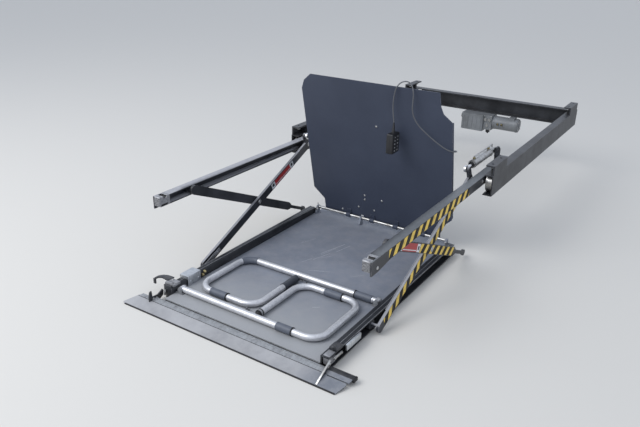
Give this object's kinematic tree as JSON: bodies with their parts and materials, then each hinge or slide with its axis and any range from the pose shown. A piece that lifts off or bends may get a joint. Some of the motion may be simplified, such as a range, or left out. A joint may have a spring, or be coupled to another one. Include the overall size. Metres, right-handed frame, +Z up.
{
  "type": "bus wheelchair lift",
  "caption": "Slide-out scissor lift for a bus: a wheelchair platform with folding handrails, a bridge plate and an outer ramp, under a guide frame.",
  "frame": {"origin": "centre of the four front hanger bolts, on the hangers' top faces, where the lift hangs from the vehicle's frame", "axes": "+X along the vehicle, +Y into the vehicle, +Z up"},
  "size_m": [1.23, 3.059, 0.9165],
  "materials": {
    "black_paint": "satin, scuffed along the edges",
    "grey_paint": "satin",
    "cast_metal": "rough cast",
    "steel": "zinc plated",
    "chrome": "polished",
    "deck_coating": "matt anti-slip coating, worn",
    "plate_coating": "matt dark blue-grey coating",
    "aluminium": "anodised",
    "grey_plastic": "matt",
    "black_plastic": "fine grain",
    "cord_rubber": "matt sheath"
  },
  "bodies": {
    "guide_frame": {"guide_rail_left": "black_paint", "guide_rail_right": "black_paint", "rear_crossmember": "black_paint", "power_pack": "grey_paint"},
    "carriage": {"upper_arm_left": "black_paint", "upper_arm_right": "black_paint", "arm_cap_left": "cast_metal", "arm_cap_right": "cast_metal", "guide_rollers_left": "steel", "guide_rollers_right": "steel", "arm_tail_left": "black_paint", "arm_tail_right": "black_paint", "lift_cylinder_left": "steel", "lift_cylinder_right": "steel"},
    "cylinder_rods": {"cylinder_rod_left": "chrome", "cylinder_rod_right": "chrome"},
    "inner_arms": {"inner_arm_left": "black_paint", "inner_arm_right": "black_paint"},
    "outer_arms": {"outer_arm_left": "black_paint", "outer_arm_right": "black_paint"},
    "platform": {"deck": "deck_coating", "side_rail_left": "black_paint", "side_rail_right": "black_paint", "hinge_bar": "steel", "hinge_brackets": "black_paint", "ramp_hinge": "steel", "handrail_brackets": "steel", "rail_box": "aluminium", "latch_left": "black_paint", "latch_right": "black_paint"},
    "bridge": {"bridge_plate": "plate_coating", "plate_knuckles": "black_paint", "pendant": "black_plastic", "pendant_cord": "cord_rubber", "cord_coil": "cord_rubber", "cord_plug": "black_plastic", "cord_hook": "black_plastic"},
    "outer_ramp": {"ramp": "deck_coating", "ramp_lever_left": "steel", "ramp_lever_right": "steel"},
    "front_rail": {"handrail_front": "aluminium", "handrail_front_sleeves": "grey_plastic", "handrail_front_cap": "grey_plastic"},
    "rear_rail": {"handrail_rear": "aluminium", "handrail_rear_sleeves": "grey_plastic", "handrail_rear_grip": "grey_plastic"}
  },
  "joints": [
    {"name": "slide_in", "type": "slide", "parent": "guide_frame", "child": "carriage", "axis": [0, 1, 0], "range_m": [0, 1.22]},
    {"name": "lift", "type": "hinge", "parent": "carriage", "child": "inner_arms", "pos_m": [0, -0.105, -0.084], "axis": [-1, 0, 0], "range_deg": [0, 54]},
    {"name": "scissor", "type": "hinge", "parent": "inner_arms", "child": "outer_arms", "pos_m": [0, -0.56923, -0.29028], "axis": [-1, 0, 0], "range_deg": [-108.5, 0.5]},
    {"name": "levelling", "type": "hinge", "parent": "outer_arms", "child": "platform", "pos_m": [0, -0.12876, -0.486], "axis": [-1, 0, 0], "range_deg": [-0.5, 54.5]},
    {"name": "rod_travel", "type": "slide", "parent": "carriage", "child": "cylinder_rods", "axis": [0, 1, 0], "range_m": [-0.001, 0.0556]},
    {"name": "bridge_fold", "type": "hinge", "parent": "platform", "child": "bridge", "pos_m": [0, -0.11, -0.454], "axis": [-1, 0, 0], "range_deg": [0, 102.6]},
    {"name": "ramp_fold", "type": "hinge", "parent": "platform", "child": "outer_ramp", "pos_m": [0, -1.365, -0.499], "axis": [-1, 0, 0], "range_deg": [0, 100]},
    {"name": "front_rail_fold", "type": "hinge", "parent": "platform", "child": "front_rail", "pos_m": [-0.396, -1.266, -0.4717], "axis": [0, -1, 0], "range_deg": [0, 90]},
    {"name": "rear_rail_fold", "type": "hinge", "parent": "platform", "child": "rear_rail", "pos_m": [0.396, -0.85, -0.4717], "axis": [0, 1, 0], "range_deg": [0, 90]}
  ],
  "couplings": [
    {"joint": "scissor", "follows": "lift", "ratio": -2},
    {"joint": "levelling", "follows": "lift", "ratio": 1},
    {"joint": "rod_travel", "follows": "lift", "m_per_rad": 0.057804}
  ]
}
